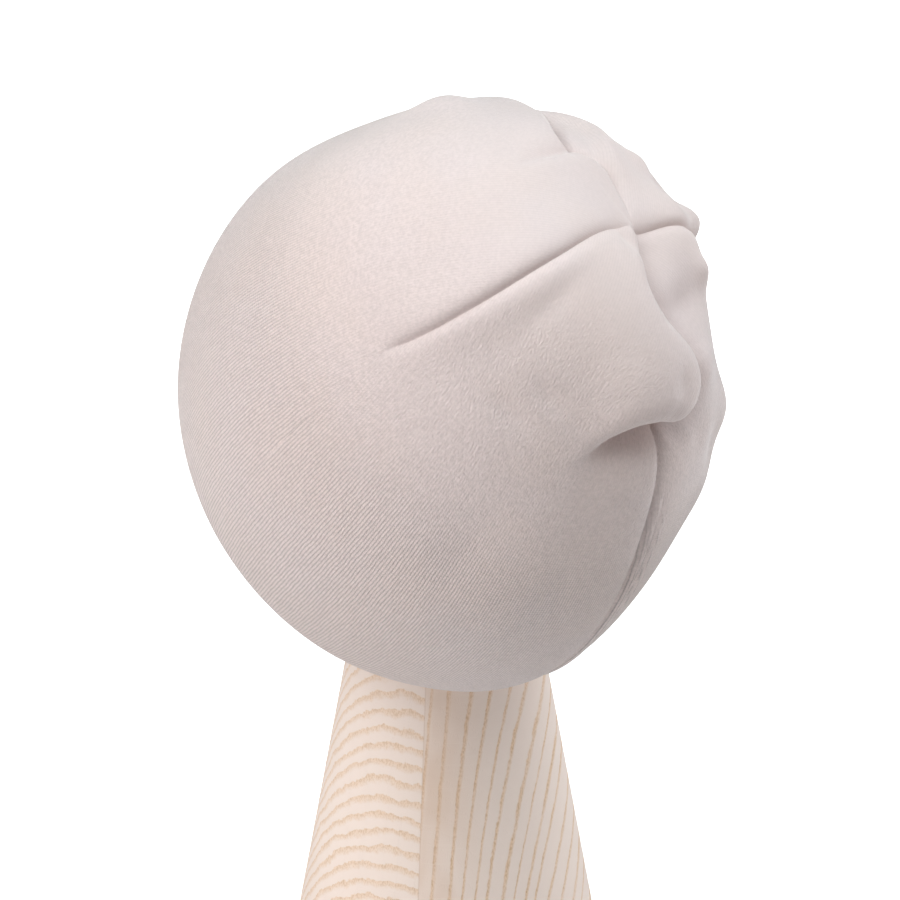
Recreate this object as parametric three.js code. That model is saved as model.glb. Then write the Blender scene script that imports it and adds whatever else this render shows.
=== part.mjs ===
// Soft jersey beanie on a plain turned wooden stand. Millimetres, +Z up.
// Origin: centre of the stand's flat base. The wearer would face -Y, with the left side at +X.
import * as THREE from 'three';

// ---- driving sizes, mm and degrees ----
const HEAD_CENTRE = { x: 4, y: 2, z: 211 };
const HEAD_TILT = 36;
const HEAD_SEMI = { up: 102, back: 85.5, side: 71 };
const CROWN_LEAN = 14;
const CROWN_LEAN_END = 75;
const PLAN_RADIUS = 88;
const RIM_ANGLE = 118;
const CLOTH_WALL = 2;
const RIM_TUCK = 1.6;
const RIM_TUCK_SPAN = 6;
const RIM_STEPS = 4;
const QUARTER_COLUMNS = 19;
const COLUMN_CROWDING = 0.6;
const ROW_SPANS = [
  { to: 24, rows: 6 },
  { to: 42, rows: 9 },
  { to: 60, rows: 4 },
  { to: RIM_ANGLE, rows: 7 },
];
const GUIDE_END = 34;
const GUIDE_FADE = 16;
const BASE_RADIUS = 49.5;
const CONE_TAPER = 0.162;
const POST_RADIUS = 21;
const POST_TOP = 305.3;
const BASE_EASE = 1.5;
const STAND_SEGMENTS = 52;
const DOME_STEPS = 6;
const NECK_STEPS = 4;
const NECK_SPAN = 12;

// Fullness of the cloth over the head form, mm: a row per longitude (0 back seam, 90 left side),
// a column per angle down from the crown point.
const FULL_AT = [0, 20, 40, 60, 85, 115];
const FULLNESS = [
  { longitude: 0, mm: [5, 5, 3, 0, -1, 2] },
  { longitude: 30, mm: [5, 7, 3, 0.5, 0, 0] },
  { longitude: 60, mm: [5, 8, 3, 0.5, 0, 1] },
  { longitude: 90, mm: [5, 7, 2.5, 0, 0, 1] },
  { longitude: 120, mm: [5, 7, 3, 0, 0, 0] },
  { longitude: 150, mm: [5, 7, 3, 0, 0, 0] },
  { longitude: 180, mm: [5, 6, 4, -1.5, 0, 0] },
  { longitude: 210, mm: [5, 6, 4, 4, 0, 0] },
  { longitude: 240, mm: [5, 8, 9, 6, 1, 0] },
  { longitude: 270, mm: [5, 8, 7, 4, 1, 0] },
  { longitude: 300, mm: [5, 7, 2, 0, -2, 0] },
  { longitude: 330, mm: [5, 5, 4, -0.5, -3, 0] },
];

// The crown is drawn on a flat plan centred on the crown point, mm:
// x runs down toward the back seam, y round toward the wearer's left.

// Slouched flap of the back left panel: its lip along the seam valley, a row per station in x.
const FLAP_SIDE = [
  { along: -5, across: 0.5, rise: 0.5, drop: 0 },
  { along: 0, across: -3.4, rise: 1.4, drop: 1.2 },
  { along: 5, across: -1.6, rise: 2.2, drop: 2.8 },
  { along: 10, across: 2.6, rise: 3.1, drop: 4.5 },
  { along: 19, across: 6.8, rise: 4.5, drop: 6 },
  { along: 27, across: 4.4, rise: 6, drop: 6 },
  { along: 33, across: -0.6, rise: 7.5, drop: 5.5 },
  { along: 38, across: -4.2, rise: 8.5, drop: 5 },
  { along: 43, across: -5.4, rise: 9.5, drop: 6.5 },
  { along: 48, across: -5, rise: 10, drop: 8.5 },
  { along: 60, across: -3, rise: 10, drop: 9 },
];
// The same flap's lower lip, a row per station in y; keep is the share of the rise left there.
const FLAP_END = [
  { along: -20, across: 55, keep: 1, under: 1 },
  { along: -5, across: 54.2, keep: 1, under: 1 },
  { along: 2, across: 52.6, keep: 1, under: 1 },
  { along: 10, across: 50.2, keep: 1, under: 1 },
  { along: 18, across: 49.6, keep: 0.8, under: 0.8 },
  { along: 25, across: 51, keep: 0.5, under: 0.5 },
  { along: 32, across: 53.5, keep: 0.15, under: 0.15 },
  { along: 38, across: 56, keep: 0, under: 0 },
];
const FLAP_CORNER = 7.5;
const PUFF_CORNER = 30;
const FLAP_LIP = 7;
const FLAP_PUFF = 18;
const FLAP_REACH = 34;
const FLAP_PUSH = 0.08;
const VALLEY_WIDTH = 8;

// Lip of the front left panel over the front seam, a row per station in x (negative is forward).
const FRONT_LIP = [
  { along: -80, across: -40, rise: 0, drop: 0 },
  { along: -60, across: -36, rise: 1.4, drop: 5 },
  { along: -45, across: -23, rise: 2.4, drop: 6.5 },
  { along: -38, across: -13.5, rise: 2.6, drop: 7.5 },
  { along: -33, across: -7.5, rise: 2.6, drop: 7.5 },
  { along: -28, across: -5, rise: 2.6, drop: 6.5 },
  { along: -25, across: -6, rise: 2.6, drop: 4.5 },
  { along: -22, across: -9.5, rise: 2.4, drop: 3 },
  { along: -18, across: -10.5, rise: 1.6, drop: 2 },
  { along: -12, across: -8, rise: 0.8, drop: 1.2 },
  { along: -5, across: -4.8, rise: 0.4, drop: 0.4 },
  { along: 0, across: -2, rise: 0.2, drop: 0 },
  { along: 5, across: -2, rise: 0, drop: 0 },
];
const FRONT_ROUND = 7;
const FRONT_VALLEY = 4.5;
const FRONT_REACH = 14;
const FRONT_PUSH = 0.3;

// Stitched valleys, a row per station; near and far are the fall-off widths either side.
const LEFT_DART = {
  near: 2,
  far: 2.2,
  rows: [
    { along: -2, across: 0, depth: 0 },
    { along: 5, across: -0.8, depth: 1.2 },
    { along: 12, across: -1.2, depth: 2 },
    { along: 20, across: -0.6, depth: 2.5 },
    { along: 30, across: 0.4, depth: 2.8 },
    { along: 45, across: 0.6, depth: 3 },
    { along: 60, across: -0.8, depth: 2.8 },
    { along: 68, across: -2.6, depth: 2.4 },
    { along: 73, across: -4.2, depth: 1.8 },
    { along: 76, across: -5.8, depth: 0 },
  ],
};
const RIGHT_DART = {
  near: 1.8,
  far: 3.2,
  rows: [
    { along: -2, across: 0, depth: 0 },
    { along: 6, across: 2, depth: 1.8 },
    { along: 20, across: 2.8, depth: 2.8 },
    { along: 32, across: 4.4, depth: 2.8 },
    { along: 42, across: 5.4, depth: 2.8 },
    { along: 54, across: 5.8, depth: 2.4 },
    { along: 72, across: 5.8, depth: 0 },
  ],
};
const PUCKER = {
  near: 4,
  far: 2.6,
  rows: [
    { along: -8, across: -27, depth: 0 },
    { along: -2, across: -27, depth: 2.6 },
    { along: 4, across: -27.5, depth: 3.2 },
    { along: 11, across: -28.5, depth: 2.4 },
    { along: 20, across: -29, depth: 0 },
  ],
};
// Soft crests, a row per station; below and above are the widths either side.
const CREST_FRONT = {
  below: 8,
  above: 4.5,
  rows: [
    { along: -56, across: -43, height: 0 },
    { along: -45, across: -38, height: 2 },
    { along: -36, across: -34, height: 2.6 },
    { along: -28, across: -24, height: 3.2 },
    { along: -22, across: -18, height: 2.8 },
    { along: -16, across: -15.5, height: 1.6 },
    { along: -10, across: -15, height: 0 },
  ],
};
const CREST_LEFT = {
  below: 12,
  above: 9,
  rows: [
    { along: 3, across: -0.5, height: 0 },
    { along: 12, across: -1.2, height: 1.6 },
    { along: 20, across: -0.6, height: 2.8 },
    { along: 30, across: 0.4, height: 3.2 },
    { along: 45, across: 0.6, height: 3.2 },
    { along: 60, across: -0.8, height: 2.6 },
    { along: 69, across: -3, height: 1.2 },
    { along: 77, across: -5.4, height: 0 },
  ],
};
const CREST_RIGHT = {
  below: 11,
  above: 8,
  rows: [
    { along: 6, across: -1, height: 0 },
    { along: 13, across: 1.4, height: 1.4 },
    { along: 20, across: 2.6, height: 2.6 },
    { along: 28, across: 3.8, height: 2.3 },
    { along: 38, across: 5, height: 1.1 },
    { along: 47, across: 5.4, height: 0.4 },
    { along: 60, across: 5.6, height: 0 },
  ],
};
const BACK_SEAM = {
  width: 2.2,
  rows: [
    { along: 28, depth: 0 },
    { along: 34, depth: 1.5 },
    { along: 45, depth: 2.2 },
    { along: 70, depth: 1.8 },
    { along: 100, depth: 1.4 },
    { along: 120, depth: 1.2 },
  ],
};
// Soft swellings: down from the crown and longitude in degrees, sizes in mm.
const SWELLS = [
  { name: 'nub', down: 22.5, longitude: 300, tall: 5, wide: 4, height: 2.5 },
  { name: 'right front', down: 34, longitude: 272, tall: 9, wide: 8, height: 2.8 },
  { name: 'front crest', down: 24, longitude: 239, tall: 5, wide: 7, height: 2.4 },
  { name: 'front shoulder', down: 17.5, longitude: 259, tall: 4, wide: 7, height: 1 },
  { name: 'right front crest', down: 30, longitude: 272, tall: 4.5, wide: 5, height: 1.5 },
  { name: 'right crest', down: 20, longitude: 286, tall: 8, wide: 10, height: 1.5 },
  { name: 'right trough', down: 18.6, longitude: 331, tall: 5.5, wide: 10, height: -2.8 },
  { name: 'right slope', down: 30, longitude: 337, tall: 7, wide: 9, height: 2.5 },
  { name: 'right front hollow', down: 30, longitude: 255, tall: 6, wide: 6, height: -2.5 },
  { name: 'top front', down: 48, longitude: 188, tall: 11, wide: 9, height: 3 },
  { name: 'top right', down: 46, longitude: 207, tall: 10, wide: 8, height: 1 },
  { name: 'behind the flap', down: 50, longitude: 318, tall: 10, wide: 9, height: 3.2 },
  { name: 'back right', down: 62, longitude: 328, tall: 12, wide: 14, height: 1.8 },
];

// ---- small maths ----
const rad = (deg) => (deg * Math.PI) / 180;
const clamp = (x, lo, hi) => Math.min(hi, Math.max(lo, x));
const smooth = (t) => t * t * (3 - 2 * t);
const lipShape = (s, width) => 1 - (1 - clamp(s / width, 0, 1)) ** 2.6;
const bell = (x) => Math.exp(-x * x);
const fall = (s, width, power) => Math.exp(-((Math.max(s, 0) / width) ** power));

// Hermite step between two values with end slopes.
function hermite(y1, y2, m1, m2, span, t) {
  const body = y1 * (1 + 2 * t) * (1 - t) ** 2 + y2 * smooth(t);
  return body + span * m1 * t * (1 - t) ** 2 - span * m2 * t * t * (1 - t);
}

// Slope at a station: zero at a turn, else the harmonic mean of the two sides.
function stationSlope(rows, key, i) {
  const rise = (k) => (rows[k + 1][key] - rows[k][key]) / (rows[k + 1].along - rows[k].along);
  if (i === 0) return rise(0);
  if (i === rows.length - 1) return rise(i - 1);
  const before = rise(i - 1);
  const after = rise(i);
  return before * after <= 0 ? 0 : (2 * before * after) / (before + after);
}

// Smooth value of one column of a table at a station, held flat past both ends.
function along(rows, key, at) {
  const x = clamp(at, rows[0].along, rows[rows.length - 1].along);
  let i = 0;
  while (i < rows.length - 2 && x >= rows[i + 1].along) i += 1;
  const span = rows[i + 1].along - rows[i].along;
  const m1 = stationSlope(rows, key, i);
  const m2 = stationSlope(rows, key, i + 1);
  return hermite(rows[i][key], rows[i + 1][key], m1, m2, span, (x - rows[i].along) / span);
}

// Rounded minimum of two distances.
function softMin(a, b, round) {
  const k = round / 2.8;
  return Math.min(a, b) - k * Math.log1p(Math.exp(-Math.abs(a - b) / k));
}

// ---- head form ----
const tiltCos = Math.cos(rad(HEAD_TILT));
const tiltSin = Math.sin(rad(HEAD_TILT));
const AXIS_UP = new THREE.Vector3(0, tiltSin, tiltCos);
const AXIS_BACK = new THREE.Vector3(0, tiltCos, -tiltSin);
const AXIS_SIDE = new THREE.Vector3(1, 0, 0);

// Unit direction (up, back, side) at an angle down from the leaning crown point.
function direction(down, longitude) {
  const lean = rad(CROWN_LEAN) * smooth(clamp(1 - down / CROWN_LEAN_END, 0, 1));
  const up = Math.cos(rad(down));
  const back = Math.sin(rad(down)) * Math.cos(rad(longitude));
  const side = Math.sin(rad(down)) * Math.sin(rad(longitude));
  const c = Math.cos(lean);
  const s = Math.sin(lean);
  return new THREE.Vector3(up * c + side * s, back, side * c - up * s);
}

// Catmull-Rom value round the rows of FULLNESS for one column.
function fullnessRound(column, longitude) {
  const n = FULLNESS.length;
  const place = ((((longitude % 360) + 360) % 360) / 360) * n;
  const i = Math.floor(place) % n;
  const t = place - Math.floor(place);
  const [p0, p1, p2, p3] = [-1, 0, 1, 2].map((k) => FULLNESS[(i + k + n) % n].mm[column]);
  const cubic = (3 * p1 - p0 - 3 * p2 + p3) * t ** 3;
  return 0.5 * (2 * p1 + (p2 - p0) * t + (2 * p0 - 5 * p1 + 4 * p2 - p3) * t * t + cubic);
}

function fullness(down, longitude) {
  const last = FULL_AT.length - 1;
  let j = 0;
  while (j < last - 1 && down >= FULL_AT[j + 1]) j += 1;
  const value = (k) => fullnessRound(clamp(k, 0, last), longitude);
  const slope = (k) => (value(k + 1) - value(k - 1)) / (FULL_AT[k + 1] - FULL_AT[k - 1]);
  const m1 = j === 0 ? 0 : slope(j);
  const m2 = j + 1 === last ? 0 : slope(j + 1);
  const span = FULL_AT[j + 1] - FULL_AT[j];
  return hermite(value(j), value(j + 1), m1, m2, span, clamp((down - FULL_AT[j]) / span, 0, 1));
}

// ---- folds on the crown plan ----
function flapDistance(x, y, corner = FLAP_CORNER) {
  return softMin(y - along(FLAP_SIDE, 'across', x), along(FLAP_END, 'across', y) - x, corner);
}

const frontDistance = (x, y) => y - along(FRONT_LIP, 'across', x);

// Unit downhill direction and steepness of a distance function.
function steepness(distance, x, y) {
  const e = 0.25;
  const gx = (distance(x + e, y) - distance(x - e, y)) / (2 * e);
  const gy = (distance(x, y + e) - distance(x, y - e)) / (2 * e);
  const size = Math.hypot(gx, gy) + 1e-9;
  return { gx: gx / size, gy: gy / size, size };
}

function flap(x, y, out) {
  const slope = steepness(flapDistance, x, y);
  const even = 1.15 / Math.hypot(Math.max(slope.size, 0.9), 0.568);
  const flat = flapDistance(x, y);
  const s = flat * even;
  const inner = flapDistance(x, y, PUFF_CORNER) * even;
  const dartSide = 1 - smooth(clamp((y + 2) / 8, 0, 1)) / (1 + Math.exp((x - 2) / 3));
  const back = x > -30 ? 1 : 0;
  const rise = back * along(FLAP_SIDE, 'rise', x) * along(FLAP_END, 'keep', y);
  const shape = 0.8 * lipShape(s, FLAP_LIP) + 0.2 * lipShape(inner, FLAP_PUFF);
  out.height += rise * shape * fall(flat - 6, FLAP_REACH, 2) * dartSide;
  const drop = along(FLAP_SIDE, 'drop', x) * along(FLAP_END, 'under', y) * clamp((x + 5) / 8, 0, 1);
  out.height -= drop * fall(-s, VALLEY_WIDTH, 1.5) * (1 - lipShape(s, FLAP_LIP));
  const push = FLAP_PUSH * rise * bell((s - 3.5) / 3.5);
  out.x -= slope.gx * push;
  out.y -= slope.gy * push;
}

function frontLip(x, y, out) {
  const slope = steepness(frontDistance, x, y);
  const flat = frontDistance(x, y);
  const s = (flat * 1.28) / Math.hypot(slope.size, 0.8);
  const forward = clamp((2 - x) / 6, 0, 1);
  const rise = along(FRONT_LIP, 'rise', x) * forward;
  const drop = along(FRONT_LIP, 'drop', x) * forward;
  out.height += rise * lipShape(s, FRONT_ROUND) * fall(flat - FRONT_ROUND, FRONT_REACH, 2);
  out.height -= drop * fall(-s, FRONT_VALLEY, 1.4) * (1 - lipShape(s, 5));
  const push = FRONT_PUSH * rise * bell((s - 3) / 3);
  out.x -= slope.gx * push;
  out.y -= slope.gy * push;
}

// Sharp stitched valley: a depth that falls off either side of its line.
function valley(line, station, across) {
  const d = across - along(line.rows, 'across', station);
  return along(line.rows, 'depth', station) * Math.exp(-Math.abs(d) / (d > 0 ? line.far : line.near));
}

// Soft crest along a line.
function crest(line, station, across) {
  const d = across - along(line.rows, 'across', station);
  return along(line.rows, 'height', station) * bell(d / (d > 0 ? line.above : line.below));
}

function backSeam(down, longitude) {
  const turn = ((((longitude + 180) % 360) + 360) % 360) - 180;
  const d = PLAN_RADIUS * Math.sin(rad(down)) * rad(turn);
  return along(BACK_SEAM.rows, 'depth', down) * Math.exp(-Math.abs(d) / BACK_SEAM.width);
}

function swell(row, unit) {
  const centre = direction(row.down, row.longitude);
  if (unit.dot(centre) <= 0) return 0;
  const tall = direction(row.down + 1, row.longitude).sub(centre);
  tall.addScaledVector(centre, -tall.dot(centre)).normalize();
  const wide = new THREE.Vector3().crossVectors(centre, tall);
  const a = (unit.dot(tall) * PLAN_RADIUS) / row.tall;
  const b = (unit.dot(wide) * PLAN_RADIUS) / row.wide;
  return row.height * Math.exp(-(a * a + b * b));
}

// Point of the outer face, in (up, back, side) about the head centre.
function outerFace(down, longitude) {
  const unit = direction(down, longitude);
  const s = rad(down) * PLAN_RADIUS;
  const x = s * Math.cos(rad(longitude));
  const y = s * Math.sin(rad(longitude));
  const out = { height: fullness(down, longitude), x: 0, y: 0 };
  flap(x, y, out);
  frontLip(x, y, out);
  out.height -= valley(PUCKER, y, x);
  if (y > -2) out.height -= valley(LEFT_DART, y, x);
  if (y < 2) out.height -= valley(RIGHT_DART, -y, x);
  out.height += crest(CREST_FRONT, x, y) + crest(CREST_LEFT, y, x) + crest(CREST_RIGHT, -y, x);
  out.height -= backSeam(down, longitude);
  SWELLS.forEach((row) => {
    out.height += swell(row, unit);
  });
  out.height -= RIM_TUCK * clamp((down - RIM_ANGLE + RIM_TUCK_SPAN) / RIM_TUCK_SPAN, 0, 1) ** 2;
  const semi = new THREE.Vector3(HEAD_SEMI.up, HEAD_SEMI.back, HEAD_SEMI.side);
  const normal = unit.clone().divide(semi).normalize();
  const downward = direction(down + 0.1, longitude).sub(direction(down, longitude)).normalize();
  const around = new THREE.Vector3().crossVectors(downward, unit).negate();
  const c = Math.cos(rad(longitude));
  const n = Math.sin(rad(longitude));
  const point = unit.clone().multiply(semi).addScaledVector(normal, out.height);
  point.addScaledVector(downward, out.x * c + out.y * n);
  return point.addScaledVector(around, out.y * c - out.x * n);
}

// Outward normal of the outer face, from neighbouring points.
function faceNormal(down, longitude) {
  const e = 1.6;
  const wide = e / Math.max(Math.sin(rad(down)), 0.05);
  const a = outerFace(down + e, longitude).sub(outerFace(Math.max(down - e, 0.01), longitude));
  const b = outerFace(down, longitude + wide).sub(outerFace(down, longitude - wide));
  const normal = a.cross(b).normalize();
  return normal.dot(direction(down, longitude)) < 0 ? normal.negate() : normal;
}

function toFrame(p) {
  const q = new THREE.Vector3(HEAD_CENTRE.x, HEAD_CENTRE.y, HEAD_CENTRE.z);
  return q.addScaledVector(AXIS_UP, p.x).addScaledVector(AXIS_BACK, p.y).addScaledVector(AXIS_SIDE, p.z);
}

// ---- meshes ----
// Closed ring-by-ring surface between two end points; each ring is a list of points.
function ringSurface(startPoint, rings, endPoint) {
  const n = rings[0].length;
  const points = [startPoint, ...rings.flat(), endPoint];
  const index = [];
  const at = (ring, k) => 1 + ring * n + (k % n);
  for (let k = 0; k < n; k += 1) {
    index.push(0, at(0, k), at(0, k + 1));
    for (let ring = 0; ring + 1 < rings.length; ring += 1) {
      index.push(at(ring, k), at(ring + 1, k), at(ring + 1, k + 1));
      index.push(at(ring, k), at(ring + 1, k + 1), at(ring, k + 1));
    }
    index.push(at(rings.length - 1, k), points.length - 1, at(rings.length - 1, k + 1));
  }
  const geometry = new THREE.BufferGeometry().setFromPoints(points);
  geometry.setIndex(index);
  geometry.computeVertexNormals();
  return geometry;
}

function rowAngles() {
  const angles = [];
  let from = 0;
  ROW_SPANS.forEach((span) => {
    for (let i = 1; i <= span.rows; i += 1) angles.push(from + ((span.to - from) * i) / span.rows);
    from = span.to;
  });
  return angles;
}

// Longitudes of the four lines the columns follow: back lip, left dart, front lip, right dart.
function guides(down) {
  const s = rad(down) * PLAN_RADIUS;
  const deg = (y, x) => (Math.atan2(y, x) * 180) / Math.PI;
  const keep = 1 - smooth(clamp((down - GUIDE_END) / GUIDE_FADE, 0, 1));
  const back = deg(along(FLAP_SIDE, 'across', s), s) * keep;
  const left = deg(s, along(LEFT_DART.rows, 'across', s));
  const front = 180 - deg(along(FRONT_LIP, 'across', -s), s);
  const right = 270 + deg(along(RIGHT_DART.rows, 'across', s), s);
  return [back, left, front, right, back + 360];
}

// Column longitudes of one row, crowded together beside the guide lines.
function columnLongitudes(down) {
  const lines = guides(down);
  const list = [];
  for (let quarter = 0; quarter < 4; quarter += 1) {
    for (let i = 0; i < QUARTER_COLUMNS; i += 1) {
      const t = i / QUARTER_COLUMNS;
      const crowded = t - (COLUMN_CROWDING * Math.sin(2 * Math.PI * t)) / (2 * Math.PI);
      list.push(lines[quarter] + (lines[quarter + 1] - lines[quarter]) * crowded);
    }
  }
  return list.reverse();
}

// Outer face down to the rim, a rounded turned edge, then the lining face back up to the crown.
function beanieGeometry() {
  const rows = rowAngles();
  const outer = rows.map((down) => columnLongitudes(down).map((f) => outerFace(down, f)));
  const normals = rows.map((down) => columnLongitudes(down).map((f) => faceNormal(down, f)));
  const inward = (p, n) => p.clone().addScaledVector(n, -CLOTH_WALL);
  const inner = outer.map((ring, i) => ring.map((p, k) => inward(p, normals[i][k])));
  const last = rows.length - 1;
  const edge = [];
  for (let i = 1; i < RIM_STEPS; i += 1) {
    const turn = (i * Math.PI) / RIM_STEPS;
    const ring = outer[last].map((p, k) => {
      const normal = normals[last][k];
      const down = p.clone().sub(outer[last - 1][k]);
      down.addScaledVector(normal, -down.dot(normal)).normalize();
      const half = CLOTH_WALL / 2;
      const q = p.clone().addScaledVector(normal, half * (Math.cos(turn) - 1));
      return q.addScaledVector(down, half * Math.sin(turn));
    });
    edge.push(ring);
  }
  const top = outerFace(0, 0);
  const topIn = inward(top, faceNormal(0.5, 0));
  const rings = [...outer, ...edge, ...inner.slice().reverse()].map((ring) => ring.map(toFrame));
  return ringSurface(toFrame(top), rings, toFrame(topIn));
}

// Outline of the stand from the base centre to the top of the domed post: radius, height.
function standProfile() {
  const coneEnd = (BASE_RADIUS - POST_RADIUS) / CONE_TAPER;
  const profile = [new THREE.Vector2(BASE_RADIUS - BASE_EASE, 0)];
  profile.push(new THREE.Vector2(BASE_RADIUS - CONE_TAPER * BASE_EASE, BASE_EASE));
  for (let i = 0; i <= NECK_STEPS; i += 1) {
    const t = i / NECK_STEPS;
    const z = coneEnd + NECK_SPAN * (2 * t - 1);
    const r = POST_RADIUS + CONE_TAPER * NECK_SPAN * (1 - t) ** 2;
    profile.push(new THREE.Vector2(r, z));
  }
  for (let i = 0; i < DOME_STEPS; i += 1) {
    const turn = (i * Math.PI) / (2 * DOME_STEPS);
    const z = POST_TOP - POST_RADIUS * (1 - Math.sin(turn));
    profile.push(new THREE.Vector2(POST_RADIUS * Math.cos(turn), z));
  }
  return profile;
}

function standGeometry() {
  const rings = standProfile().map((p) => Array.from({ length: STAND_SEGMENTS }, (_, k) => {
    const turn = (-k * 2 * Math.PI) / STAND_SEGMENTS;
    return new THREE.Vector3(p.x * Math.cos(turn), p.x * Math.sin(turn), p.y);
  }));
  return ringSurface(new THREE.Vector3(0, 0, 0), rings, new THREE.Vector3(0, 0, POST_TOP));
}

const cloth = new THREE.MeshStandardMaterial({ color: 0xc9bcb4, roughness: 0.95, metalness: 0 });
const wood = new THREE.MeshStandardMaterial({ color: 0xe2cfb4, roughness: 0.7, metalness: 0 });

const part = new THREE.Group();
part.name = 'beanie_on_stand';
const beanie = new THREE.Mesh(beanieGeometry(), cloth);
beanie.name = 'beanie';
const stand = new THREE.Mesh(standGeometry(), wood);
stand.name = 'stand';
part.add(beanie, stand);

export default part;
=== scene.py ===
# %% [markdown]
# # A soft jersey beanie on a turned wooden stand
# This file builds the looks of one small still life: a child's beanie of fine pale jersey, with a
# darted crown that has slouched into folds, worn by a plain cone of ash wood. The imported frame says
# where each body is and how big it is. Each visible surface here is worked out with numpy on a grid
# of rows and columns, and it lands on the frame with no fitting. Lengths in the shape code are
# millimetres, and a mesh is turned to metres as it is made.

import bpy
import math
import numpy as np
from mathutils import Matrix


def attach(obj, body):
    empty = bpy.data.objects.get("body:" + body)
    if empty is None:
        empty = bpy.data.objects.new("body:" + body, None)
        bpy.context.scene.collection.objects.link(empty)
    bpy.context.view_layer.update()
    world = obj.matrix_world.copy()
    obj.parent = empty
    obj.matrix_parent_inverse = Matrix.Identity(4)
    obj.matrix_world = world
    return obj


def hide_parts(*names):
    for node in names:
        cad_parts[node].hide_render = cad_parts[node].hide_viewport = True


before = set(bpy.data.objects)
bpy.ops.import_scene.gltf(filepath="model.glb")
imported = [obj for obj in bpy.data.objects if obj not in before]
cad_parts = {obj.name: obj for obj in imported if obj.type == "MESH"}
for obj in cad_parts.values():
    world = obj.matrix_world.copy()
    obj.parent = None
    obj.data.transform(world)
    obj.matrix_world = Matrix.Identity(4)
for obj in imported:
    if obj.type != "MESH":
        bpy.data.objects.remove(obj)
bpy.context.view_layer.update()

# %% [markdown]
# The camera stands behind the wearer's left shoulder and looks down at about 35 degrees. A long lens
# keeps the cone's sides nearly straight. Its place comes from an aim point, two angles and a distance.

# %% The camera
AIM = np.array([6.71, 10.06, 199.7])
CAMERA_TURN, CAMERA_RISE, CAMERA_DISTANCE = 50.0, 35.0, 1200.0   # degrees from +X, degrees up, mm


def camera_axes(turn, rise):
    """Right, up and back of a camera on a sphere: back points from the aim to the camera."""
    t, r = math.radians(turn), math.radians(rise)
    back = np.array([math.cos(t) * math.cos(r), math.sin(t) * math.cos(r), math.sin(r)])
    right = np.array([-math.sin(t), math.cos(t), 0.0])
    return right, np.cross(back, right), back


right, up, back = camera_axes(CAMERA_TURN, CAMERA_RISE)
camera_data = bpy.data.cameras.new("camera")
camera_data.lens, camera_data.sensor_width = 160.0, 36.0
camera = bpy.data.objects.new("camera", camera_data)
bpy.context.scene.collection.objects.link(camera)
place = (AIM + back * CAMERA_DISTANCE) / 1000
turned = np.eye(4)
turned[:3, :3], turned[:3, 3] = np.stack([right, up, back], axis=1), place
camera.matrix_world = Matrix(turned.tolist())
bpy.context.scene.camera = camera
print("camera at, m:", np.round(place, 3))

# %% [markdown]
# ## The beanie's measures
# The hat is double jersey stretched over a head and slouched at the crown. Its shape is worked out as
# one outer face: a smooth head form, some fullness, and then each fold of the crown. The measures are
# those the frame was built from, in millimetres and degrees, so the cloth lands on it. A few folds are
# sharper here than in the frame, and the dents, the crease and the seam's gathers are only here.

# %% The head form and its fullness
HEAD_CENTRE = np.array([4.0, 2.0, 211.0])
HEAD_TILT = 36.0
HEAD_SEMI = np.array([102.0, 85.5, 71.0])      # up the head's axis, to the back, to the side
CROWN_LEAN, CROWN_LEAN_END = 14.0, 75.0
PLAN_RADIUS = 88.0
RIM_ANGLE, RIM_TUCK, RIM_TUCK_SPAN = 118.0, 1.6, 6.0
FULL_AT = np.array([0.0, 20.0, 40.0, 60.0, 85.0, 115.0])   # degrees down from the crown point
FULLNESS = np.array([          # mm, a row every 30 degrees round from the back seam
    [5, 5, 3, 0, -1, 2],
    [5, 7, 3, 0.5, 0, 0],
    [5, 8, 3, 0.5, 0, 1],
    [5, 7, 2.5, 0, 0, 1],
    [5, 7, 3, 0, 0, 0],
    [5, 7, 3, 0, 0, 0],
    [5, 6, 4, -1.5, 0, 0],
    [5, 6, 4, 4, 0, 0],
    [5, 8, 9, 6, 1, 0],
    [5, 8, 7, 4, 1, 0],
    [5, 7, 2, 0, -2, 0],
    [5, 5, 4, -0.5, -3, 0],
], float)

# %% [markdown]
# The crown is drawn on a flat plan centred on the crown point, where the four sewn lines cross: x runs
# down toward the back seam and y round toward the wearer's left. Each fold is a short table, a row per
# station along it, and a smooth curve is passed through each column.

# %% Tables of the folds


def table(columns, *rows):
    """A short table as a dictionary of arrays, one per named column."""
    return dict(zip(columns.split(), np.array(rows, float).T))


FLAP_SIDE = table(
    "along across rise drop",
    (-5, 0.5, 0.5, 0),
    (0, -3.4, 1.4, 1.2),
    (5, -1.6, 2.2, 2.8),
    (10, 2.6, 3.1, 4.5),
    (19, 6.8, 4.5, 6),
    (27, 4.4, 6, 6),
    (33, -0.6, 7.5, 5.5),
    (38, -4.2, 8.5, 5),
    (43, -5.4, 9.5, 6.5),
    (48, -5, 10, 8.5),
    (60, -3, 10, 9),
)
FLAP_END = table(
    "along across keep under",
    (-20, 55, 1, 1),
    (-5, 54.2, 1, 1),
    (2, 52.6, 1, 1),
    (10, 50.2, 1, 1),
    (18, 49.6, 0.8, 0.8),
    (25, 51, 0.5, 0.5),
    (32, 53.5, 0.15, 0.15),
    (38, 56, 0, 0),
)
FLAP_CORNER, FLAP_LIP, FLAP_PUFF, FLAP_REACH, FLAP_PUSH = 7.5, 7.0, 18.0, 34.0, 0.42
PUFF_CORNER = 30.0
VALLEY_WIDTH = 8.0
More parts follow.
